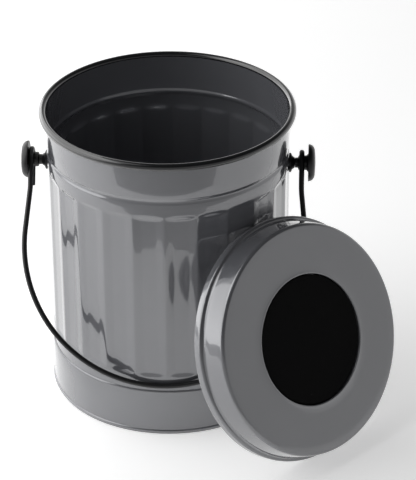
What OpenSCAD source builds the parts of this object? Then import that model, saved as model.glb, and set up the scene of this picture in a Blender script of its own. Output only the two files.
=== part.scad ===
// Countertop compost caddy: a fluted steel pail with a wire bail and a loose plug lid
// that leans against it. Origin on the table at the pail's axis, +Z up, the bail's
// posts along X, the front towards -Y. Millimetres.

/* [Pail] */
// outer radius of the straight wall
wall_r = 97.5; // [80:0.5:120]
// thickness of the painted steel sheet
sheet = 0.8; // [0.5:0.1:1.2]
// height of the centre of the rolled rim
rim_z = 246; // [180:1:300]
// radius of the circle along the rolled rim's centre
rim_r = 99.6; // [95:0.1:105]
// radius of the rolled rim's tube
rim_tube = 3; // [2:0.1:5]
// height of the groove under the upper band
groove_z = 213.8; // [180:0.1:230]
// depth of the groove under the upper band
groove_depth = 1; // [0.5:0.1:1.5]

/* [Flutes] */
// number of flutes round the wall
flutes = 24; // [12:1:36]
// depth of a flute in its middle
flute_depth = 1.35; // [0.6:0.05:2]
// width of the ridge between two flutes
ridge_deg = 0.8; // [0.4:0.1:2]
// width of a flute's flat bottom
flat_deg = 7; // [4:0.5:10]
// turn of the ridges from the posts' line
flute_turn = 1.2; // [-3:0.1:3]
// height of a flute's lower tip
flute_low = 54; // [45:1:80]
// height of a flute's upper tip
flute_high = 201; // [150:1:205]
// radius of the curve that runs a flute out at its tips
runout_r = 12; // [6:1:30]

/* [Base pan] */
// outer radius of the plain band round the foot
band_r = 98.4; // [96:0.1:105]
// height of the band
band_h = 41.5; // [20:0.5:60]
// height of the raised floor over the table
floor_z = 4; // [2:0.5:10]

/* [Bail posts] */
// height of the posts' axis
post_z = 198.9; // [150:0.1:230]
// radius of the round neck
neck_r = 4.1; // [3:0.1:6]
// radius of the hub that the hook runs on
hub_r = 5.9; // [4.5:0.1:9]
// radius of the mushroom cap
cap_r = 15; // [10:0.5:20]
// distance of the cap's flat inner face from the pail's axis
cap_x = 112.7; // [108:0.1:120]

/* [Bail] */
// radius of the wire
wire_r = 2.1; // [1.5:0.1:3]
// radius of the bail's main curve
bail_r = 113; // [105:0.5:125]
// distance from the posts' axis to the centre of the main curve
bail_drop = 68.1; // [50:0.1:90]
// lean of the legs towards the posts
leg_deg = 6; // [2:0.5:12]
// distance of each hook from the bail's middle
hook_x = 108.9; // [105:0.1:112]
// length of the hook's free end
tail = 21; // [10:1:30]
// sideways play taken up as the bail hangs
bail_shift = -1.4; // [-2:0.1:2]
// gap between the resting bail and the wall
rest_gap = 0.3; // [0.1:0.1:1]

/* [Lid] */
// outer radius of the lid's band
lid_r = 97.3; // [95:0.1:105]
// height of the lid's band
lid_band = 8.15; // [5:0.05:12]
// radius of the plug where it leaves the band
plug_r = 94.4; // [85:0.1:96]
// radius of the plug at its lower corner
plug_low_r = 91.9; // [80:0.1:96]
// depth of the plug's face below the band's upper bend
plug_depth = 27; // [15:0.1:40]
// radius of the opening in the plug's face
opening_r = 51.75; // [30:0.25:70]
// thickness of the lid's sheet
lid_sheet = 0.7; // [0.5:0.1:1]
// radius of the lid's knob
knob_r = 13; // [8:0.5:14]

/* [Filters] */
// radius of a charcoal pad
filter_r = 51.3; // [30:0.1:69]
// thickness of a charcoal pad
filter_h = 8; // [4:0.5:10]

/* [Leaning lid] */
// direction in which the lid's underside faces, turned from the front towards the right
lean_az = 46.12; // [0:0.01:90]
// how far the underside looks upward
lean_up = 22.48; // [10:0.01:40]
// sideways offset of the lid's centre from that direction
lean_side = 2.3; // [-10:0.1:10]
// gap between the lid's edge and the wall it leans on
lean_gap = 0.35; // [0.1:0.05:1]

/* [Hidden] */
$fn = 96;
eps = 0.02;
wall_in = wall_r - sheet;

// flutes: a flat bottom and a planar side each way up to the ridges
half_flute = (360 / flutes - ridge_deg) / 2;
flute_x = wall_r - flute_depth;
flat_w = flute_x * tan(flat_deg / 2);
edge_x = wall_r * cos(half_flute);
edge_w = wall_r * sin(half_flute);
side_deg = atan((edge_x - flute_x) / (edge_w - flat_w));
runout_over = 0.2;
runout_x = flute_x - runout_over + runout_r;
runout_len = sqrt(runout_r * runout_r - pow(runout_x - wall_r, 2));

// posts
screw_r = 2.38;
bore_r = 2.42;
screw_hole_r = 2.7;
flange_r = 7.9;
flange_end = 102;
// the washers bridge the flutes' bulges on the inside
washer_x = wall_in - 1.5;
washer_t = 0.8;

// bail: the hook's centreline clears the hub by 0.4
hook_r = hub_r + wire_r + 0.4;
bend_r = 60;
bend_low_x = hook_x + bend_r * (1 - cos(leg_deg));
leg_top = bail_drop - (bail_r / cos(leg_deg) - bend_low_x) / tan(leg_deg);
bend_top = leg_top - bend_r * sin(leg_deg);
leg_low = bail_drop - bail_r * sin(leg_deg);
reach = bail_drop + bail_r;
rest_y = wall_r + rest_gap + wire_r;
rest_deg = asin(rest_y / sqrt(reach * reach + hook_r * hook_r)) - atan(hook_r / reach);

// lid, in its own frame: Z = 0 where the band's upper bend starts, the knob up
bend_out = 1.5;
bend_in = bend_out - lid_sheet;
bend_x = lid_r - bend_out;
bend_z = -0.65;
hem_out = 2.2;
hem_in = hem_out - lid_sheet;
hem_x = lid_r - hem_out;
hem_z = bend_z + bend_out - lid_band + hem_out;
hem_lip_x = plug_r + 0.3;
panel_z = -1.5;
inner_x = bend_x - bend_out;
corner_r = 3;
corner_in = corner_r - lid_sheet;
sleeve_r = 52.6;
lip_r = 0.9;
knob_z = 2.5;
vent_r = 2;

// the leaning lid touches the table and the wall with its upper bend
lean_in = bend_x * sin(lean_up) + bend_z * cos(lean_up) + bend_out;
lid_out = wall_r + lean_gap + lean_in;
lid_up = eps + bend_out + bend_x * cos(lean_up) + bend_z * sin(lean_up);

paint = [0.42, 0.43, 0.44];
black = [0.05, 0.05, 0.055];
steel = [0.7, 0.7, 0.72];
felt = [0.02, 0.02, 0.02];

// one round quarter of a folded edge, in the profile plane
module fold(outer, inner, from) {
    rotate(from)
        intersection() {
            difference() {
                circle(outer);
                circle(inner);
            }
            square(outer + 1);
        }
}

// a body of revolution whose axis is X, outward to the right
module along_x() {
    rotate([0, 90, 0]) rotate_extrude() children();
}

// the same thing on the left post
module left() {
    rotate([0, 0, 180]) children();
}

// ---- pail ----

// a flute's cutter, grown by the sheet's thickness for the bulge on the inside
module flute_tool(grow) {
    low = flute_low + runout_len;
    high = flute_high - runout_len;
    back = flute_x - grow;
    back_w = flat_w + grow * tan(side_deg / 2);
    top = edge_x + 0.3;
    top_w = back_w + (top - back) / tan(side_deg);
    intersection() {
        translate([0, 0, flute_low - 5])
            linear_extrude(flute_high - flute_low + 10)
                polygon([[back, -back_w], [top, -top_w], [wall_r + 2, -top_w],
                         [wall_r + 2, top_w], [top, top_w], [back, back_w]]);
        translate([0, 20, 0])
            rotate([90, 0, 0])
                linear_extrude(40) {
                    translate([back - 1, low]) square([6 + grow, high - low]);
                    for (z = [low, high]) translate([runout_x, z]) circle(runout_r + grow);
                }
    }
}

module each_flute() {
    for (k = [0:flutes - 1])
        rotate([0, 0, flute_turn + (k + 0.5) * 360 / flutes]) children();
}

module wall_profile() {
    translate([wall_in, floor_z - 3]) square([sheet, rim_z - floor_z + 3]);
    translate([rim_r, rim_z])
        difference() {
            circle(rim_tube);
            circle(rim_tube - 1);
        }
}

// the groove is pressed inward, so it shows as a rib on the inside
module groove(grow) {
    groove_r = 6;
    translate([wall_r + groove_r - groove_depth, groove_z]) circle(groove_r + grow);
}

module side_wall() {
    color(paint)
        difference() {
            union() {
                rotate_extrude() {
                    wall_profile();
                    intersection() {
                        groove(sheet);
                        translate([wall_in - 5, groove_z - 10]) square([5.4, 20]);
                    }
                }
                intersection() {
                    each_flute() flute_tool(sheet);
                    cylinder(r = wall_r - 0.3, h = rim_z, $fn = 96);
                }
            }
            each_flute() flute_tool(0);
            rotate_extrude() groove(0);
            for (side = [0, 180])
                rotate([0, 0, side])
                    translate([wall_in - 6, 0, post_z])
                        rotate([0, 90, 0]) cylinder(r = screw_hole_r, h = 12, $fn = 48);
        }
}

module base_pan() {
    seam_r = 94.5;
    well = floor_z + sheet;
    bead_r = 1.5;
    color(paint)
        rotate_extrude() {
            polygon([[band_r - sheet, 0], [band_r, 0], [band_r, band_h - 1.3],
                     [band_r - sheet + 0.1, band_h], [band_r - sheet, band_h]]);
            translate([seam_r, 0]) square([band_r - seam_r, sheet]);
            translate([seam_r, 0]) square([sheet, well]);
            translate([0, floor_z]) square([seam_r + sheet, sheet]);
            intersection() {
                translate([band_r - 0.6, 2.6]) circle(bead_r);
                translate([band_r - sheet / 2, 0]) square([bead_r, 6]);
            }
        }
}

// ---- posts ----

module flange_body() {
    difference() {
        along_x()
            polygon([[bore_r + 0.2, wall_r - 2], [flange_r - 0.3, wall_r - 2], [flange_r, wall_r + 0.6],
                     [flange_r, wall_r + 1.3], [6.3, wall_r + 1.9], [5.1, wall_r + 2.8],
                     [4.4, wall_r + 3.8], [neck_r, flange_end], [bore_r + 0.2, flange_end]]);
        translate([0, 0, -30]) cylinder(r = wall_r + eps, h = 60, $fn = 360);
    }
}

// neck, hub, boss and cap in one turned piece, with a blind bore for the screw
module cap_body() {
    edge = 5.2;
    edge_x = cap_r - edge;
    face_x = 118.5;
    dome_r = 90;
    hub_x = 104.8;
    boss_x = 111.3;
    boss_r = 7.4;
    bore_end = 110;
    along_x()
        difference() {
            union() {
                polygon([[0, flange_end + eps], [neck_r, flange_end + eps], [neck_r, hub_x - 0.6],
                         [hub_r, hub_x], [hub_r, boss_x], [boss_r, cap_x],
                         [boss_r, cap_x + 1], [0, cap_x + 1]]);
                intersection() {
                    union() {
                        translate([edge_x, cap_x + 0.3]) circle(edge);
                        translate([0, cap_x]) square([edge_x, 8]);
                    }
                    translate([0, face_x - dome_r]) circle(dome_r);
                    translate([0, cap_x]) square([cap_r + 1, 10]);
                }
            }
            translate([0, flange_end - 1]) square([bore_r, bore_end - flange_end + 1]);
        }
}

module left_flange() {
    color(black) translate([0, 0, post_z]) left() flange_body();
}

module right_flange() {
    color(black) translate([0, 0, post_z]) flange_body();
}

module left_cap() {
    color(black) translate([0, 0, post_z]) left() cap_body();
}

module right_cap() {
    color(black) translate([0, 0, post_z]) cap_body();
}

// a pan-head screw seen in profile: radius outward, Y along the shaft from the head's seat
module screw_profile(length) {
    head_r = 4.4;
    square([screw_r, length]);
    intersection() {
        translate([0, -2.6]) square([head_r, 2.6]);
        translate([0, 4.4]) circle(7);
    }
}

module post_screws() {
    seat_x = washer_x - washer_t - eps;
    color(steel)
        for (side = [0, 180])
            translate([0, 0, post_z])
                rotate([0, 0, side])
                    along_x() translate([0, seat_x]) screw_profile(109 - seat_x);
}

module post_washers() {
    color(steel)
        for (side = [0, 180])
            translate([0, 0, post_z])
                rotate([0, 0, side])
                    along_x() translate([screw_hole_r, washer_x - washer_t])
                        square([6 - screw_hole_r, washer_t]);
}

// ---- bail ----

module half_hook() {
    translate([hook_x, 0, 0]) {
        rotate([0, 90, 0]) rotate([0, 0, 90])
            rotate_extrude(angle = 180, $fn = 48) translate([hook_r, 0]) circle(wire_r, $fn = 40);
        translate([0, hook_r, -tail]) cylinder(r = wire_r, h = tail, $fn = 40);
        translate([0, -hook_r, -bend_top]) cylinder(r = wire_r, h = bend_top, $fn = 40);
    }
}

// the straight length is a touch thinner, so that its ends sit inside both curves
module half_leg() {
    inset = 0.02;
    lap = 0.5;
    straight = (leg_low - leg_top) / cos(leg_deg);
    translate([hook_x + bend_r, -hook_r, -bend_top])
        rotate([90, 0, 0]) rotate([0, 0, 180])
            rotate_extrude(angle = leg_deg) translate([bend_r, 0]) circle(wire_r, $fn = 40);
    translate([bail_r * cos(leg_deg), -hook_r, -leg_low])
        rotate([0, -leg_deg, 0]) translate([0, 0, -lap])
            cylinder(r = wire_r - inset, h = straight + 2 * lap, $fn = 40);
}

module bail_wire() {
    color(black)
        translate([bail_shift, 0, post_z])
            rotate([-rest_deg, 0, 0]) {
                translate([0, -hook_r, -bail_drop])
                    rotate([90, 0, 0]) rotate([0, 0, 180 - leg_deg])
                        rotate_extrude(angle = 180 + 2 * leg_deg)
                            translate([bail_r, 0]) circle(wire_r, $fn = 40);
                for (side = [0, 1])
                    mirror([side, 0, 0]) {
                        half_hook();
                        half_leg();
                    }
            }
}

// ---- lid ----

module lean() {
    dir = [sin(lean_az), -cos(lean_az)];
    side = [cos(lean_az), sin(lean_az)];
    at = dir * lid_out + side * lean_side;
    translate([at[0], at[1], lid_up]) rotate([90 + lean_up, 0, 180 + lean_az]) children();
}

module lid_pan() {
    flange_z = hem_z - hem_out + lid_sheet + 0.05;
    wall_top = flange_z + lid_sheet;
    corner_x = plug_low_r - corner_r;
    corner_z = -plug_depth + corner_r;
    color(paint)
        lean() rotate_extrude() {
            translate([opening_r + lip_r, -plug_depth + 0.6]) circle(lip_r, $fn = 32);
            translate([opening_r + lip_r, -plug_depth])
                square([corner_x - opening_r - lip_r, lid_sheet]);
            translate([corner_x, corner_z]) fold(corner_r, corner_in, -90);
            polygon([[plug_low_r - lid_sheet, corner_z], [plug_low_r, corner_z],
                     [plug_r, wall_top], [plug_r - lid_sheet, wall_top]]);
            translate([plug_r - lid_sheet, flange_z])
                square([hem_x - plug_r + lid_sheet, lid_sheet]);
        }
}

// the panel steps up twice towards the knob
module panel_profile() {
    steps = [[inner_x + 0.1, panel_z], [46, panel_z], [42, 0.8], [32, 0.8], [28, knob_z],
             [screw_hole_r, knob_z]];
    under = [for (k = [len(steps) - 1:-1:0]) [steps[k][0], steps[k][1] - lid_sheet]];
    polygon(concat(steps, under));
}

module lid_top() {
    inner_x_in = inner_x + lid_sheet;
    color(paint)
        lean() difference() {
            rotate_extrude() {
                panel_profile();
                translate([inner_x, panel_z - lid_sheet])
                    square([lid_sheet, bend_z - panel_z + lid_sheet]);
                translate([bend_x, bend_z]) fold(bend_out, bend_in, 0);
                translate([bend_x, bend_z]) fold(bend_out, bend_in, 90);
                translate([lid_r - lid_sheet, hem_z]) square([lid_sheet, bend_z - hem_z]);
                translate([hem_x, hem_z]) fold(hem_out, hem_in, -90);
                translate([hem_lip_x, hem_z - hem_out]) square([hem_x - hem_lip_x, lid_sheet]);
            }
            for (k = [0:15])
                rotate([0, 0, k * 22.5])
                    translate([37, 0, -5]) cylinder(r = vent_r, h = 10, $fn = 32);
            for (k = [0:7])
                rotate([0, 0, k * 45 + 22.5])
                    translate([22, 0, -5]) cylinder(r = vent_r, h = 10, $fn = 32);
        }
}

module filter_sleeve() {
    low = -plug_depth + 0.6 + lip_r + 0.1;
    color(paint)
        lean() rotate_extrude()
            translate([sleeve_r - lid_sheet, low])
                square([lid_sheet, panel_z - lid_sheet - 0.05 - low]);
}

module lid_knob() {
    edge = 2.2;
    edge_x = knob_r - edge;
    head_z = 6.2;
    top_z = 11.9;
    dome_r = 40;
    color(black)
        lean() rotate_extrude()
            difference() {
                union() {
                    polygon([[0, knob_z + eps], [8, knob_z + eps], [7.6, 3.4], [6.6, 4.4],
                             [6.4, head_z + 1], [0, head_z + 1]]);
                    intersection() {
                        union() {
                            translate([edge_x, head_z + edge - 0.3]) circle(edge, $fn = 48);
                            translate([0, head_z]) square([edge_x, 8]);
                        }
                        translate([0, top_z - dome_r]) circle(dome_r);
                        translate([0, head_z]) square([knob_r + 1, 8]);
                    }
                }
                square([bore_r, 9]);
            }
}

module knob_screw() {
    seat_z = knob_z - lid_sheet - washer_t - 2 * eps;
    color(steel) lean() rotate_extrude() translate([0, seat_z]) screw_profile(8.5 - seat_z);
}

module knob_washer() {
    color(steel)
        lean() rotate_extrude()
            translate([screw_hole_r, knob_z - lid_sheet - eps - washer_t])
                square([6 - screw_hole_r, washer_t]);
}

// ---- filters ----

module pad(z) {
    color(felt)
        lean() translate([0, 0, z]) cylinder(r = filter_r, h = filter_h - 0.1, $fn = 96);
}

module filter_lower() {
    pad(-plug_depth + 0.9);
}

module filter_upper() {
    pad(-plug_depth + 0.9 + filter_h);
}

side_wall();
base_pan();
left_flange();
right_flange();
left_cap();
right_cap();
post_screws();
post_washers();
bail_wire();
lid_pan();
lid_top();
filter_sleeve();
lid_knob();
knob_screw();
knob_washer();
filter_lower();
filter_upper();
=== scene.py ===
import bmesh
import bpy
import math
from mathutils import Matrix, Vector, noise


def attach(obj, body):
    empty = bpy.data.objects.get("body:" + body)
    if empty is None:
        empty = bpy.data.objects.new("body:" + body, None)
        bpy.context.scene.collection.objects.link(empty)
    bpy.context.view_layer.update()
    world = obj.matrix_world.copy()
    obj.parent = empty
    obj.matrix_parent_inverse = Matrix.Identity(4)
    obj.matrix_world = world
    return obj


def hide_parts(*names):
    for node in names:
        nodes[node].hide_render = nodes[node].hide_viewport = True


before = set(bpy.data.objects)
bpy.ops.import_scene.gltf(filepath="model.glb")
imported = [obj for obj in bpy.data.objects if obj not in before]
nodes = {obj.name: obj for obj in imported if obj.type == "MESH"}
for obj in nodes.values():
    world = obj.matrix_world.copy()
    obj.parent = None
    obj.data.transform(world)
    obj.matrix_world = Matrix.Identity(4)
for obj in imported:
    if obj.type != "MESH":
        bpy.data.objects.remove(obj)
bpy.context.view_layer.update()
mm = 0.001

# camera: looks down on the caddy from the front, at standing height over a worktop
view = {
    "place": (0.09869, -1.65773, 1.08120),
    "turn": (60.0621, 0.2626, 2.1649),  # degrees about X, Y and Z
    "lens": 174.79, "sensor": 36, "near": 0.05, "far": 20,
}
cameraData = bpy.data.cameras.new("camera")
camera = bpy.data.objects.new("camera", cameraData)
bpy.context.scene.collection.objects.link(camera)
camera.location = view["place"]
camera.rotation_euler = [math.radians(a) for a in view["turn"]]
cameraData.lens = view["lens"]
cameraData.sensor_width = view["sensor"]
cameraData.clip_start = view["near"]
cameraData.clip_end = view["far"]
bpy.context.scene.camera = camera
bpy.context.scene.view_settings.view_transform = "Standard"
print("camera in place")


def linear(code):
    channels = [int(code[i:i + 2], 16) / 255 for i in (1, 3, 5)]
    return [c / 12.92 if c <= 0.04045 else ((c + 0.055) / 1.055) ** 2.4 for c in channels] + [1]


def addNode(tree, kind, settings=None, inputs=None, links=None):
    n = tree.nodes.new(kind)
    for key, value in (settings or {}).items():
        setattr(n, key, value)
    for key, value in (inputs or {}).items():
        n.inputs[key].default_value = value
    for key, source in (links or {}).items():
        tree.links.new(source, n.inputs[key])
    return n


def newMaterial(name):
    material = bpy.data.materials.new(name)
    material.use_nodes = True
    tree = material.node_tree
    shader = tree.nodes["Principled BSDF"]
    coords = addNode(tree, "ShaderNodeTexCoord").outputs["Object"]
    return material, tree, shader, coords


def addNoise(tree, coords, size, detail, roughness, distortion=0):
    values = {"Scale": 1 / size, "Detail": detail, "Roughness": roughness, "Distortion": distortion}
    return addNode(tree, "ShaderNodeTexNoise", None, values, {"Vector": coords}).outputs["Fac"]


def mixColours(tree, pattern, low, high):
    return addNode(tree, "ShaderNodeMix", {"data_type": "RGBA"},
                   {"A": linear(low), "B": linear(high)}, {"Factor": pattern})


def tintBy(tree, shader, pattern, low, high):
    tint = mixColours(tree, pattern, low, high)
    tree.links.new(tint.outputs["Result"], shader.inputs["Base Color"])


def glossBy(tree, shader, pattern, least, most):
    gloss = addNode(tree, "ShaderNodeMapRange", None, {"To Min": least, "To Max": most},
                    {"Value": pattern})
    tree.links.new(gloss.outputs["Result"], shader.inputs["Roughness"])


def bumpBy(tree, shader, pattern, strength, depth):
    bump = addNode(tree, "ShaderNodeBump", None, {"Strength": strength, "Distance": depth},
                   {"Height": pattern})
    tree.links.new(bump.outputs["Normal"], shader.inputs["Normal"])


# stove enamel on pressed steel: a glassy top coat, sharp enough to mirror a wire, over
# a colour with more or less silvery pigment, and the odd cloudy patch where it runs thicker
def makeEnamel(name, look):
    glaze = {"cloud": 45 * mm, "peel": 2.2 * mm, "peelDepth": 0.05 * mm}
    material, tree, shader, coords = newMaterial(name)
    cloud = addNoise(tree, coords, glaze["cloud"], 2, 0.5)
    peel = addNoise(tree, coords, glaze["peel"], 1, 0.4)
    tintBy(tree, shader, cloud, look["base"], look["thick"])
    glossBy(tree, shader, cloud, 0.15, 0.22)
    bumpBy(tree, shader, peel, 0.25, glaze["peelDepth"])
    shader.inputs["Metallic"].default_value = look["silver"]
    shader.inputs["Coat Weight"].default_value = 1
    shader.inputs["Coat Roughness"].default_value = 0.03
    shader.inputs["Coat IOR"].default_value = look["coatIor"]
    return material


# black powder coat, semi-gloss: a pebbly skin about half a millimetre across
def makeBlackPowder():
    look = {"low": "#101011", "high": "#19191b", "pebble": 0.7 * mm}
    material, tree, shader, coords = newMaterial("black powder coat")
    pebble = addNoise(tree, coords, look["pebble"], 1, 0.5)
    # the colour follows the pebble bump and is darker in its dips: painted shade
    tintBy(tree, shader, pebble, look["low"], look["high"])
    glossBy(tree, shader, pebble, 0.28, 0.42)
    bumpBy(tree, shader, pebble, 0.2, 0.04 * mm)
    return material


# bright zinc plate on turned steel: pale and a little blue, with fine turning marks
def makeZinc():
    look = {"low": "#a9adb2", "high": "#c3c6ca", "grain": 0.5 * mm}
    material, tree, shader, coords = newMaterial("bright zinc plate")
    grain = addNoise(tree, coords, look["grain"], 3, 0.6)
    tintBy(tree, shader, grain, look["low"], look["high"])
    glossBy(tree, shader, grain, 0.24, 0.4)
    shader.inputs["Metallic"].default_value = 1
    return material


# needle-punched charcoal felt: soot black, no gloss, a mat of short fibres with
# a few pale specks of lint
def makeFelt():
    look = {"pitShade": "#040404", "fibre": "#121213", "lint": "#5a5a58", "grain": 0.9 * mm,
            "lintPitch": 9 * mm, "lintSize": 0.035}  # a speck's radius, as a share of the pitch
    material, tree, shader, coords = newMaterial("charcoal felt")
    fibres = addNoise(tree, coords, look["grain"], 4, 0.7, 1.5)
    # the fibre colour is painted darker where the bump is low: painted shade in the pits between the
    # fibres
    body = mixColours(tree, fibres, look["pitShade"], look["fibre"])
    specks = addNode(tree, "ShaderNodeTexVoronoi", {"feature": "F1"},
                     {"Scale": 1 / look["lintPitch"], "Randomness": 1}, {"Vector": coords})
    small = addNode(tree, "ShaderNodeMath", {"operation": "LESS_THAN"}, {1: look["lintSize"]},
                    {0: specks.outputs["Distance"]})
    tint = mixColours(tree, small.outputs["Value"], look["pitShade"], look["lint"])
    tree.links.new(body.outputs["Result"], tint.inputs["A"])
    tree.links.new(tint.outputs["Result"], shader.inputs["Base Color"])
    bumpBy(tree, shader, fibres, 0.7, 0.4 * mm)
    shader.inputs["Roughness"].default_value = 1
    shader.inputs["Specular IOR Level"].default_value = 0.2
    return material


# the grey's coat is a dense frit, well over clear lacquer's 1.5
enamels = {
    "grey stove enamel": {"base": "#76777c", "thick": "#6f7075", "silver": 0.27, "coatIor": 1.92},
    "black stove enamel": {"base": "#1a1b1d", "thick": "#161719", "silver": 0, "coatIor": 1.5},
}
greyEnamel, blackEnamel = [makeEnamel(name, look) for name, look in enamels.items()]
blackPowder = makeBlackPowder()
zincPlate = makeZinc()
charcoalFelt = makeFelt()
print("materials ready")


sharpEdge = 38  # degrees between two faces that shading doesn't smooth over


def ofKind(kind, geom):
    return [g for g in geom if isinstance(g, kind)]


# a profile is drawn in the XZ plane, in millimetres: a line to a point, or an arc
# about a centre, turned by degrees (positive from +X towards +Z)
def drawProfile(bm, start, moves, close=True):
    first = bm.verts.new((start[0] * mm, 0, start[1] * mm))
    last = first
    for move in moves:
        if move[0] == "line":
            steps = move[3] if len(move) > 3 else 1
            goal = Vector((move[1] * mm, 0, move[2] * mm))
            stride = (goal - last.co) / steps
            for k in range(steps):
                new = bmesh.ops.extrude_vert_indiv(bm, verts=[last])["verts"][0]
                bmesh.ops.translate(bm, verts=[new], vec=stride)
                last = new
        else:
            arc = bmesh.ops.spin(bm, geom=[last], cent=(move[1] * mm, 0, move[2] * mm),
                                 axis=(0, -1, 0), angle=math.radians(move[3]), steps=move[4])
            last = ofKind(bmesh.types.BMVert, arc["geom_last"])[0]
    if close:
        bm.edges.new((last, first))


def rise(x, rows):
    # straight up or down at one radius, through heights with a number of steps to each
    return [("line", x, z, steps) for z, steps in rows]


def turnRound(bm, steps):
    bmesh.ops.spin(bm, geom=bm.verts[:] + bm.edges[:], cent=(0, 0, 0), axis=(0, 0, 1),
                   angle=2 * math.pi, steps=steps, use_merge=True)
    bmesh.ops.remove_doubles(bm, verts=bm.verts, dist=1e-7)


def finishPiece(name, bm, material, body, replaced, place=None, sharp=sharpEdge):
    if place is not None:
        bmesh.ops.transform(bm, matrix=place, verts=bm.verts)
    bmesh.ops.recalc_face_normals(bm, faces=bm.faces)
    mesh = bpy.data.meshes.new(name)
    bm.to_mesh(mesh)
    bm.free()
    mesh.shade_smooth()
    mesh.set_sharp_from_angle(angle=math.radians(sharp))
    mesh.materials.append(material)
    piece = bpy.data.objects.new(name, mesh)
    bpy.context.scene.collection.objects.link(piece)
    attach(piece, body)
    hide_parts(*replaced)
    return piece


pail = {
    "wallR": 97.5, "sheet": 0.8, "lowZ": 0.9, "rimZ": 246, "rimR": 99.6, "rimTube": 3.0,
    "rollDrop": 0.4,  # where the roll meets the inside, under the bead's middle
    "rimOver": 0.1,  # how far past the bead's surface a face still counts as the bead
    "grooveZ": 213.8, "grooveDepth": 1.0, "grooveHalf": 3.6,
    "flutes": 24, "fluteDepth": 1.35, "ridgeDegrees": 0.8, "flatDegrees": 7, "fluteTurn": 1.2,
    "fluteLow": 54, "fluteHigh": 201, "runoutR": 12, "runoutDip": 0.2,
    # how far the corners are eased at a flute's bends and ridges, and what's taken off again
    "bendEase": 0.12, "ridgeEase": 0.3, "easeOff": 0.02,
    "pressed": (44, 222),  # the heights between which the wall isn't a plain tube
    # where the mesh's columns stand, in degrees from a ridge to a flute's middle
    "columns": (0, 0.25, 0.5, 0.75, 1.2, 2, 3, 3.6, 4, 4.4, 5, 6.2, 7.5),
    # and its rows, outside and inside: crowded where a flute runs out and in the groove
    "rowsUp": ((40, 1), (52, 3), (66, 11), (190, 10), (204, 11), (210.6, 2), (217, 14)),
    "rowsDown": ((217, 2), (210.6, 10), (204, 1), (190, 8), (66, 6), (52, 8), (40, 1)),
}


def fluteRadius(p, offset, z):
    # distance from the pail's axis to a flute's surface, offset radians from its middle:
    # a flat bottom between two planar sides, run out by an arc at both tips
    half = math.radians((360 / p["flutes"] - p["ridgeDegrees"]) / 2)
    backX = p["wallR"] - p["fluteDepth"]
    flatW = backX * math.tan(math.radians(p["flatDegrees"] / 2))
    slope = (p["wallR"] * math.cos(half) - backX) / (p["wallR"] * math.sin(half) - flatW)
    arcX = backX - p["runoutDip"] + p["runoutR"]
    reach = math.sqrt(p["runoutR"] ** 2 - (arcX - p["wallR"]) ** 2)
    past = max(z - (p["fluteHigh"] - reach), (p["fluteLow"] + reach) - z, 0)
    if past >= p["runoutR"]:
        return 2 * p["wallR"]
    bottomX = max(backX, arcX - math.sqrt(p["runoutR"] ** 2 - past ** 2))
    bottom = bottomX / math.cos(offset)
    side = (backX - flatW * slope) / (math.cos(offset) - math.sin(abs(offset)) * slope)
    return blendMax(bottom, side, p["bendEase"])


def blendMax(a, b, ease):
    # the greater of two heights, with the corner between them rounded
    return (a + b + math.sqrt((a - b) ** 2 + ease ** 2)) / 2


def wallRadius(p, angle, z):
    pitch = 2 * math.pi / p["flutes"]
    offset = ((angle - math.radians(p["fluteTurn"])) % pitch) - pitch / 2
    # off the flutes the dent is below nothing, and the easing then adds next to nothing
    dent = max(p["wallR"] - fluteRadius(p, offset, z), -2)
    dent = blendMax(dent, 0, p["ridgeEase"]) - p["easeOff"]
    away = abs(z - p["grooveZ"]) / p["grooveHalf"]
    if away < 1:
        dent += p["grooveDepth"] * math.cos(away * math.pi / 2) ** 2
    return p["wallR"] - max(dent, 0)


def crowdColumns(bm, p):
    # the even columns are drawn together at the ridges and at the bends of the flutes
    marks = p["columns"]
    pitch = 360 / p["flutes"]
    for v in bm.verts:
        angle = math.degrees(math.atan2(v.co.y, v.co.x))
        ridge = math.floor(angle / pitch + 0.5) * pitch
        count = (angle - ridge) / (pitch / 2) * (len(marks) - 1)
        low = min(int(abs(count)), len(marks) - 2)
        part = abs(count) - low
        off = marks[low] + (marks[low + 1] - marks[low]) * part
        turned = math.radians(ridge + math.copysign(off, count) + p["fluteTurn"])
        r = math.hypot(v.co.x, v.co.y)
        v.co.x = r * math.cos(turned)
        v.co.y = r * math.sin(turned)


def pressWall(bm, p):
    low, high = p["pressed"]
    for v in bm.verts:
        r = math.hypot(v.co.x, v.co.y) / mm
        z = v.co.z / mm
        if low < z < high:
            shift = wallRadius(p, math.atan2(v.co.y, v.co.x), z) - p["wallR"]
            factor = (r + shift) / r
            v.co.x *= factor
            v.co.y *= factor


def blackenRim(wall, p, material):
    # the rolled rim's faces take the black enamel, all round
    wall.materials.append(material)
    for face in wall.polygons:
        out = math.hypot(face.center.x, face.center.y) / mm - p["rimR"]
        if math.hypot(out, face.center.z / mm - p["rimZ"]) < p["rimTube"] + p["rimOver"]:
            face.material_index = 1


bm = bmesh.new()
p = pail
inner = p["wallR"] - p["sheet"]
seat = math.degrees(math.acos((p["rimR"] - p["wallR"]) / p["rimTube"]))
seatZ = p["rimZ"] - p["rimTube"] * math.sin(math.radians(seat))
drawProfile(bm, (p["wallR"], p["lowZ"]), [
    *rise(p["wallR"], p["rowsUp"]),
    ("line", p["wallR"], seatZ, 3),
    ("arc", p["rimR"], p["rimZ"], 360 - seat, 30),
    ("line", inner, p["rimZ"] - p["rollDrop"]),
    *rise(inner, p["rowsDown"]),
    ("line", inner, p["lowZ"])])
turnRound(bm, 2 * p["flutes"] * (len(p["columns"]) - 1))
crowdColumns(bm, p)
pressWall(bm, p)
sideWall = finishPiece("flutedWall", bm, greyEnamel, "caddy", ["side_wall"])
blackenRim(sideWall.data, p, blackEnamel)
print("fluted wall made")


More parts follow.
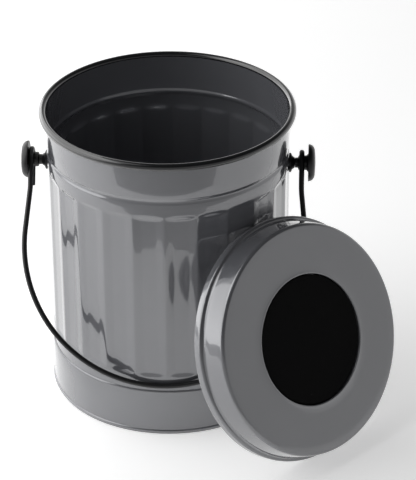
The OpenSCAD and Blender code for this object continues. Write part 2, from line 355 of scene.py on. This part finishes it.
foot = {
    "bandR": 98.4, "sheet": 0.8, "bandTop": 41.5, "seamR": 94.5, "floorZ": 4, "bend": 0.5,
    "beadR": 1.5, "beadX": 97.8, "beadZ": 2.6,
}
bm = bmesh.new()
p = foot
bandIn = p["bandR"] - p["sheet"]
beadTurn = math.degrees(math.acos((p["bandR"] - p["beadX"]) / p["beadR"]))
beadDrop = p["beadR"] * math.sin(math.radians(beadTurn))
bend = p["bend"]
seamIn = p["seamR"] + p["sheet"]
floorUp = p["floorZ"] + p["sheet"]
drawProfile(bm, (0, p["floorZ"]), [
    ("line", p["seamR"] - bend, p["floorZ"], 6),
    ("arc", p["seamR"] - bend, p["floorZ"] - bend, -90, 4),
    ("line", p["seamR"], bend),
    ("arc", p["seamR"] + bend, bend, 90, 4),
    ("line", p["bandR"] - bend, 0),
    ("arc", p["bandR"] - bend, bend, 90, 4),
    ("line", p["bandR"], p["beadZ"] - beadDrop),
    ("arc", p["beadX"], p["beadZ"], 2 * beadTurn, 12),
    # the band's top edge is rolled in against the wall
    ("line", p["bandR"], p["bandTop"] - 1.6, 3),
    ("line", p["bandR"] - 0.1, p["bandTop"] - 1.1),
    ("line", p["bandR"] - 0.6, p["bandTop"] - 0.3),
    ("line", bandIn + 0.02, p["bandTop"]),
    ("line", bandIn, p["bandTop"] - 0.1),
    ("line", bandIn, p["sheet"]),
    ("line", seamIn, p["sheet"]),
    ("line", seamIn, floorUp - bend),
    ("arc", seamIn - bend, floorUp - bend, 90, 4),
    ("line", 0, floorUp, 6)])
turnRound(bm, 240)
basePan = finishPiece("basePan", bm, greyEnamel, "caddy", ["base_pan"])
print("base pan made")


post = {
    "z": 198.9, "flangeR": 7.9, "boreR": 2.7, "neckR": 4.1, "hubR": 5.9, "bossR": 7.4, "capR": 15,
    "edge": 5.2, "domeR": 90,
    # distances from the caddy's axis, outward
    "boreX": 99, "flangeX": 101.98, "neckX": 102.02, "hubX": 104.8, "bossX": 111.3, "capX": 112.7,
    "faceX": 118.5,
}


def postPlace(side):
    turn = Matrix.Rotation(math.radians(90 * side), 4, "Y")
    return Matrix.Translation((0, 0, post["z"] * mm)) @ turn


def makeFlange(name, side, node):
    # drawn with the post's axis along Z, then laid over; the foot is bent to the wall
    p = post
    wall = pail["wallR"]
    bm = bmesh.new()
    drawProfile(bm, (p["boreR"], wall - 0.3), [
        ("line", p["flangeR"] - 0.2, wall - 0.3, 4), ("line", p["flangeR"], wall + 0.5),
        ("line", p["flangeR"], wall + 1.2),
        # the flare
        ("line", 7.4, wall + 1.6), ("line", 6.2, wall + 2.0), ("line", 5.1, wall + 2.8),
        ("line", 4.5, wall + 3.8), ("line", p["neckR"], 101.8),
        ("line", p["boreR"], p["flangeX"]), ("line", p["boreR"], p["boreX"])])
    turnRound(bm, 64)
    for v in bm.verts:
        if v.co.z < (wall + 0.1) * mm:
            v.co.z = math.sqrt((wall + 0.03) ** 2 * mm * mm - v.co.y ** 2)
    made = finishPiece(name, bm, blackPowder, "caddy", [node], postPlace(side))


def makeCap(name, side, node):
    p = post
    bm = bmesh.new()
    edgeX = p["capR"] - p["edge"]
    tilt = math.degrees(math.asin(edgeX / (p["domeR"] - p["edge"])))
    domeZ = p["faceX"] - p["domeR"]
    edgeZ = domeZ + (p["domeR"] - p["edge"]) * math.cos(math.radians(tilt))
    drop = math.degrees(math.asin(min(1, (edgeZ - p["capX"]) / p["edge"])))
    roundStart = 0.94 * drop
    drawProfile(bm, (0, p["neckX"]), [
        ("line", p["neckR"], p["neckX"], 2), ("line", p["neckR"], p["hubX"] - 0.7),
        ("line", p["neckR"] + 0.6, p["hubX"] - 0.2), ("line", p["hubR"] - 0.2, p["hubX"]),
        ("line", p["hubR"], p["hubX"] + 0.2),
        ("line", p["hubR"], p["bossX"]), ("line", p["bossR"] - 0.1, p["capX"] - 0.3),
        ("line", p["bossR"], p["capX"]),
        # the cap's back edge is broken a little before its round starts
        ("line", edgeX + p["edge"] * math.cos(math.radians(drop)) - 0.25, p["capX"], 2),
        ("line", edgeX + p["edge"] * math.cos(math.radians(roundStart)), p["capX"] + 0.25),
        ("arc", edgeX, edgeZ, roundStart + 90 - tilt, 14),
        ("arc", 0, domeZ, tilt, 8)], close=False)
    turnRound(bm, 96)
    made = finishPiece(name, bm, blackPowder, "caddy", [node], postPlace(side))


makeFlange("leftFlange", -1, "left_flange")
makeFlange("rightFlange", 1, "right_flange")
makeCap("leftCap", -1, "left_cap")
makeCap("rightCap", 1, "right_cap")
print("posts made")


bail = {
    "wireR": 2.1, "arcR": 113, "drop": 68.1, "legDegrees": 6, "hookX": 108.9, "hookR": 8.4,
    "bendR": 60, "tail": 21, "tip": 0.5, "tipShare": 0.8, "shift": -1.4, "gap": 0.3,
}


def sweepOn(bm, ring, cent, axis, degrees, steps):
    swept = bmesh.ops.spin(bm, geom=ring, cent=[c * mm for c in cent], axis=axis,
                           angle=math.radians(degrees), steps=steps)
    return swept["geom_last"]


def pushOn(bm, ring, vec):
    new = bmesh.ops.extrude_edge_only(bm, edges=ofKind(bmesh.types.BMEdge, ring))["geom"]
    moved = ofKind(bmesh.types.BMVert, new)
    bmesh.ops.translate(bm, verts=moved, vec=[c * mm for c in vec])
    return moved + ofKind(bmesh.types.BMEdge, new)


def makeBail():
    p = bail
    lean = math.radians(p["legDegrees"])
    bendX = p["hookX"] + p["bendR"] * (1 - math.cos(lean))
    legTop = p["drop"] - (p["arcR"] / math.cos(lean) - bendX) / math.tan(lean)
    bendTop = legTop - p["bendR"] * math.sin(lean)
    legLow = p["drop"] - p["arcR"] * math.sin(lean)
    bm = bmesh.new()
    # half of it, from the lowest point round to the right and up to the hook's free end
    ring = bmesh.ops.create_circle(bm, segments=20, radius=p["wireR"] * mm)["verts"]
    bmesh.ops.rotate(bm, verts=ring, matrix=Matrix.Rotation(math.pi / 2, 3, "Y"))
    bmesh.ops.translate(bm, verts=ring,
                        vec=(0, -p["hookR"] * mm, -(p["drop"] + p["arcR"]) * mm))
    geom = bm.verts[:] + bm.edges[:]
    geom = sweepOn(bm, geom, (0, -p["hookR"], -p["drop"]), (0, -1, 0), 90 + p["legDegrees"], 72)
    geom = pushOn(bm, geom, (bendX - p["arcR"] * math.cos(lean), 0, legLow - legTop))
    geom = sweepOn(bm, geom, (p["hookX"] + p["bendR"], -p["hookR"], -bendTop), (0, 1, 0),
                   p["legDegrees"], 5)
    geom = pushOn(bm, geom, (0, 0, bendTop))
    geom = sweepOn(bm, geom, (p["hookX"], 0, 0), (-1, 0, 0), 180, 28)
    geom = pushOn(bm, geom, (0, 0, -p["tail"] + p["tip"]))
    # the cut end is lightly rounded
    geom = pushOn(bm, geom, (0, 0, -p["tip"]))
    bmesh.ops.scale(bm, verts=ofKind(bmesh.types.BMVert, geom), vec=(p["tipShare"], p["tipShare"], 1),
                    space=Matrix.Translation((-p["hookX"] * mm, -p["hookR"] * mm, 0)))
    bmesh.ops.contextual_create(bm, geom=ofKind(bmesh.types.BMEdge, geom))
    bmesh.ops.mirror(bm, geom=bm.verts[:] + bm.edges[:] + bm.faces[:], axis="X", merge_dist=1e-6)
    reach = p["drop"] + p["arcR"]
    restY = pail["wallR"] + p["gap"] + p["wireR"]
    rest = math.asin(restY / math.hypot(reach, p["hookR"])) - math.atan(p["hookR"] / reach)
    place = Matrix.Translation((p["shift"] * mm, 0, post["z"] * mm)) @ Matrix.Rotation(-rest, 4, "X")
    made = finishPiece("bailWire", bm, blackPowder, "bail", ["bail_wire"], place, sharp=50)


makeBail()
print("bail made")


lid = {
    "outR": 97.3, "bend": 1.5, "bendZ": -0.65, "sheet": 0.7, "band": 8.15, "hem": 2.2,
    "plugR": 94.4, "plugLowR": 91.9, "depth": 27, "corner": 3, "openR": 51.75, "lip": 0.9,
    "boreR": 2.7, "seam": 4.5, "seamTurn": 40,  # paint fills the seam under the hem to a fillet
    # the top skin, from its middle out: a raised disc, a step for the vents and the sunk panel
    "topR": 28, "topZ": 2.5, "stepInR": 32, "stepOutR": 42, "stepZ": 0.8, "panelR": 46, "panelZ": -1.5,
    # rings of vents: how many, how far from the middle, turn in degrees
    "vents": ((16, 37, 0), (8, 22, 22.5)), "ventR": 2, "drillLong": 16,
    # how it leans on the caddy, and its clearances from the wall and the floor
    "azimuth": 46.12, "up": 22.48, "side": 2.3, "gap": 0.35, "clear": 0.02,
}


def lidPlace():
    p = lid
    up = math.radians(p["up"])
    az = math.radians(p["azimuth"])
    bendX = p["outR"] - p["bend"]
    out = pail["wallR"] + p["gap"] + bendX * math.sin(up) + p["bendZ"] * math.cos(up) + p["bend"]
    high = p["clear"] + p["bend"] + bendX * math.cos(up) + p["bendZ"] * math.sin(up)
    at = Vector((out * math.sin(az) + p["side"] * math.cos(az),
                 -out * math.cos(az) + p["side"] * math.sin(az), high)) * mm
    turn = Matrix.Rotation(math.pi + az, 4, "Z") @ Matrix.Rotation(math.pi / 2 + up, 4, "X")
    return Matrix.Translation(at) @ turn


leaning = lidPlace()
p = lid
bendX = p["outR"] - p["bend"]
hemX = p["outR"] - p["hem"]
hemZ = p["bendZ"] + p["bend"] - p["band"] + p["hem"]
crestIn = bendX - p["bend"]

# the pan: the plug, its round opening, and the flange that the hem folds round
bm = bmesh.new()
lipTop = hemZ - p["hem"] + p["sheet"]
flangeZ = lipTop + 0.05
cornerX = p["plugLowR"] - p["corner"]
cornerZ = -p["depth"] + p["corner"]
lipX = p["openR"] + p["lip"]
taper = math.degrees(math.atan((p["plugR"] - p["plugLowR"]) / (flangeZ + p["sheet"] - cornerZ)))
seamZ = hemZ - p["hem"] - 0.07
seamX = p["plugR"] - 0.35
seamLow = seamZ - p["seam"] * math.sin(math.radians(p["seamTurn"]))
drawProfile(bm, (lipX, -p["depth"] - 0.3), [
    ("line", lipX + 1.0, -p["depth"] - 0.12), ("line", lipX + 2.2, -p["depth"]),
    ("line", cornerX, -p["depth"], 6),
    ("arc", cornerX, cornerZ, 90 - taper, 10),
    ("line", seamX, seamLow, 4),
    ("arc", seamX + p["seam"], seamLow, -p["seamTurn"], 8),
    ("line", p["plugR"] + 0.05, seamZ), ("line", p["plugR"] + 0.1, flangeZ),
    ("line", hemX, flangeZ), ("line", hemX, flangeZ + p["sheet"]),
    ("line", p["plugR"] - p["sheet"], flangeZ + p["sheet"]),
    ("line", p["plugLowR"] - p["sheet"], cornerZ, 3),
    ("arc", cornerX, cornerZ, -90, 8),
    ("line", lipX + 2, -p["depth"] + p["sheet"], 6),
    ("line", lipX, -p["depth"] + 1.4),
    ("arc", lipX, -p["depth"] + 0.55, 180, 10)])
turnRound(bm, 300)
lidPan = finishPiece("lidPan", bm, greyEnamel, "lid", ["lid_pan"], leaning)

# the top skin, with its edge folded down and under
bm = bmesh.new()
foldR = p["plugR"] + 0.4
drawProfile(bm, (p["boreR"], p["topZ"]), [
    ("line", p["topR"], p["topZ"], 5),
    ("line", p["stepInR"], p["stepZ"], 2), ("line", p["stepOutR"], p["stepZ"], 2),
    ("line", p["panelR"], p["panelZ"], 2), ("line", crestIn - 0.6, p["panelZ"], 6),
    ("line", crestIn, p["panelZ"] + 0.5), ("line", crestIn, p["bendZ"]),
    ("arc", bendX, p["bendZ"], -180, 16),
    ("line", p["outR"], hemZ, 3),
    ("arc", hemX, hemZ, -90, 8),
    ("line", foldR, hemZ - p["hem"]),
    ("line", foldR, lipTop),
    ("line", hemX, lipTop),
    ("arc", hemX, hemZ, 90, 6),
    ("line", p["outR"] - p["sheet"], p["bendZ"], 3),
    ("arc", bendX, p["bendZ"], 180, 12),
    ("line", crestIn + p["sheet"], p["panelZ"] - p["sheet"]),
    ("line", p["panelR"], p["panelZ"] - p["sheet"], 6),
    ("line", p["stepOutR"], p["stepZ"] - p["sheet"], 2),
    ("line", p["stepInR"], p["stepZ"] - p["sheet"], 2),
    ("line", p["topR"], p["topZ"] - p["sheet"], 2),
    ("line", p["boreR"], p["topZ"] - p["sheet"], 5)])
turnRound(bm, 300)
lidTop = finishPiece("lidTop", bm, greyEnamel, "lid", ["lid_top"], leaning)

drill = bmesh.new()
for count, away, turn in p["vents"]:
    for k in range(count):
        angle = math.radians(turn + 360 * k / count)
        spot = Matrix.Translation((away * mm * math.cos(angle), away * mm * math.sin(angle), 0))
        bmesh.ops.create_cone(drill, cap_ends=True, segments=28, radius1=p["ventR"] * mm,
                              radius2=p["ventR"] * mm, depth=p["drillLong"] * mm,
                              matrix=leaning @ spot)
mesh = bpy.data.meshes.new("ventDrill")
drill.to_mesh(mesh)
drill.free()
ventDrill = bpy.data.objects.new("ventDrill", mesh)
bpy.context.scene.collection.objects.link(ventDrill)
cut = lidTop.modifiers.new("vents", "BOOLEAN")
cut.object = ventDrill
drilled = bpy.data.meshes.new_from_object(lidTop.evaluated_get(bpy.context.evaluated_depsgraph_get()))
lidTop.modifiers.clear()
lidTop.data = drilled
drilled.shade_smooth()
drilled.set_sharp_from_angle(angle=math.radians(sharpEdge))
bpy.data.objects.remove(ventDrill)
print("lid sheets made, vents drilled")


knob = {
    "footR": 8, "footZ": 2.52, "neckR": 6.4, "neckLow": 4.1, "neckZ": 4.9, "headZ": 6.2, "edge": 2.2,
    "edgeX": 10.8, "edgeZ": 8.1, "domeR": 40, "topZ": 11.9, "boreR": 2.42, "boreZ": 9,
}
bm = bmesh.new()
p = knob
spread = math.sqrt(p["edge"] ** 2 - (p["edgeZ"] - p["headZ"]) ** 2)
below = math.degrees(math.atan2(p["edgeZ"] - p["headZ"], spread))
meet = math.degrees(math.atan2(p["edgeZ"] - p["topZ"] + p["domeR"], p["edgeX"]))
drawProfile(bm, (0, p["boreZ"]), [
    ("line", p["boreR"], p["boreZ"]), ("line", p["boreR"], p["footZ"]),
    ("line", p["footR"] - 0.3, p["footZ"], 2), ("line", p["footR"], p["footZ"] + 0.25),
    ("line", p["footR"] - 0.35, 3.3), ("line", p["neckR"] + 0.35, p["neckLow"]),
    ("line", p["neckR"], p["neckZ"]), ("line", p["neckR"], p["headZ"] - 0.5),
    ("line", p["neckR"] + 0.5, p["headZ"]), ("line", p["edgeX"] + spread, p["headZ"], 2),
    ("arc", p["edgeX"], p["edgeZ"], below + meet, 16),
    ("arc", 0, p["topZ"] - p["domeR"], 90 - meet, 8)], close=False)
turnRound(bm, 72)
lidKnob = finishPiece("lidKnob", bm, blackPowder, "lid", ["lid_knob"], leaning)
print("knob made")


pad = {
    "radius": 51.25, "thick": 7.85, "edge": 1.2, "start": -26.1, "pitch": 8,
    # the face's unevenness: how high, over what lengths, and how far the rim draws in
    "fuzz": 0.12, "coarse": 3.5, "fine": 1.3, "fineShare": 0.6, "drawIn": 0.002,
}


def makePad(name, node, level):
    # a die-cut disc of felt: soft edges, and a face that isn't quite flat
    p = pad
    bm = bmesh.new()
    top = p["thick"]
    side = p["radius"] - p["edge"]
    drawProfile(bm, (0, 0), [
        ("line", side, 0, 24), ("arc", side, p["edge"], 90, 4),
        ("line", p["radius"], top - p["edge"], 2), ("arc", side, top - p["edge"], 90, 4),
        ("line", 0, top, 24)], close=False)
    turnRound(bm, 128)
    bmesh.ops.translate(bm, verts=bm.verts, vec=(0, 0, (p["start"] + level * p["pitch"]) * mm))
    for v in bm.verts:
        rough = noise.noise(v.co / (p["coarse"] * mm))
        rough += p["fineShare"] * noise.noise(v.co / (p["fine"] * mm))
        inward = math.hypot(v.co.x, v.co.y) / (p["radius"] * mm)
        v.co *= 1 - p["drawIn"] * inward * (1 + rough)
        v.co.z += p["fuzz"] * mm * max(-1, min(1, rough)) * (1 if level else 0.6)
    made = finishPiece(name, bm, charcoalFelt, "filters", [node], leaning, sharp=60)


makePad("lowerPad", "filter_lower", 0)
makePad("upperPad", "filter_upper", 1)
print("filter pads made")


def dress(node, material):
    mesh = nodes[node].data
    mesh.materials.clear()
    mesh.materials.append(material)


for node in ("post_screws", "post_washers", "knob_screw", "knob_washer"):
    dress(node, zincPlate)
dress("filter_sleeve", greyEnamel)
print("carried-over pieces dressed")


studio = {
    # the board ends a little way in front of the caddy
    "floor": "#f4f4f4", "spread": 6, "shift": 2.62, "dull": 0.9, "sheen": 0.1,
    "glow": 0.45,  # what the camera and the gloss see over the board's own light, up to plain white
    # one broad silk to the left, from the table up, and a small one over it
    "key": {"place": (-1.15, 0.3, 0.9), "aim": (0, 0, 0.15), "size": (3.4, 1.8), "power": 32},
    "top": {"place": (-0.9, -0.2, 1.5), "aim": (0, 0, 0.2), "size": (1.2, 1.2), "power": 4},
    # the room's light: by height, from left to right and from front to back
    "height": (0.05, 0.6, 0.9, 0.05), "across": (-1, 1, 1.3, 1.0), "deep": (-1, 1, 0.42, 1.0),
}

floorMesh = bmesh.new()
bmesh.ops.create_grid(floorMesh, x_segments=1, y_segments=1, size=studio["spread"] / 2)
bmesh.ops.translate(floorMesh, verts=floorMesh.verts, vec=(0, studio["shift"], 0))
mesh = bpy.data.meshes.new("floor")
floorMesh.to_mesh(mesh)
floorMesh.free()
floor = bpy.data.objects.new("floor", mesh)
bpy.context.scene.collection.objects.link(floor)
board, tree, shader, _ = newMaterial("matt white board")
shader.inputs["Base Color"].default_value = linear(studio["floor"])
shader.inputs["Roughness"].default_value = studio["dull"]
shader.inputs["Specular IOR Level"].default_value = studio["sheen"]
path = addNode(tree, "ShaderNodeLightPath")
seen = addNode(tree, "ShaderNodeMath", {"operation": "MAXIMUM"}, None,
               {0: path.outputs["Is Camera Ray"], 1: path.outputs["Is Glossy Ray"]})
glow = addNode(tree, "ShaderNodeMath", {"operation": "MULTIPLY"}, {1: studio["glow"]},
               {0: seen.outputs["Value"]})
shader.inputs["Emission Color"].default_value = (1, 1, 1, 1)
tree.links.new(glow.outputs["Value"], shader.inputs["Emission Strength"])
mesh.materials.append(board)


def addLamp(name, place, aim, size, power):
    data = bpy.data.lights.new(name, "AREA")
    data.shape = "RECTANGLE"
    data.size = size[0]
    data.size_y = size[1]
    data.energy = power
    lamp = bpy.data.objects.new(name, data)
    bpy.context.scene.collection.objects.link(lamp)
    lamp.location = place
    lamp.rotation_euler = (Vector(aim) - Vector(place)).to_track_quat("-Z", "Y").to_euler()


addLamp("keyLeft", **studio["key"])
addLamp("topLeft", **studio["top"])

world = bpy.data.worlds.new("studio")
bpy.context.scene.world = world
world.use_nodes = True
tree = world.node_tree
room = tree.nodes["Background"]
coords = addNode(tree, "ShaderNodeTexCoord")
split = addNode(tree, "ShaderNodeSeparateXYZ", None, None, {0: coords.outputs["Generated"]})
level = None
for way, axis in (("height", "Z"), ("across", "X"), ("deep", "Y")):
    low, high, start, end = studio[way]
    ramp = addNode(tree, "ShaderNodeMapRange", {"interpolation_type": "SMOOTHSTEP"},
                   {"From Min": low, "From Max": high, "To Min": start, "To Max": end},
                   {"Value": split.outputs[axis]}).outputs["Result"]
    if level is None:
        level = ramp
    else:
        level = addNode(tree, "ShaderNodeMath", {"operation": "MULTIPLY"}, None,
                        {0: level, 1: ramp}).outputs["Value"]
tree.links.new(level, room.inputs["Color"])
path = addNode(tree, "ShaderNodeLightPath")
white = addNode(tree, "ShaderNodeBackground", None, {"Color": (1, 1, 1, 1), "Strength": 1})
pick = addNode(tree, "ShaderNodeMixShader", None, None,
               {0: path.outputs["Is Camera Ray"], 1: room.outputs[0], 2: white.outputs[0]})
tree.links.new(pick.outputs[0], tree.nodes["World Output"].inputs["Surface"])
print("stage set")
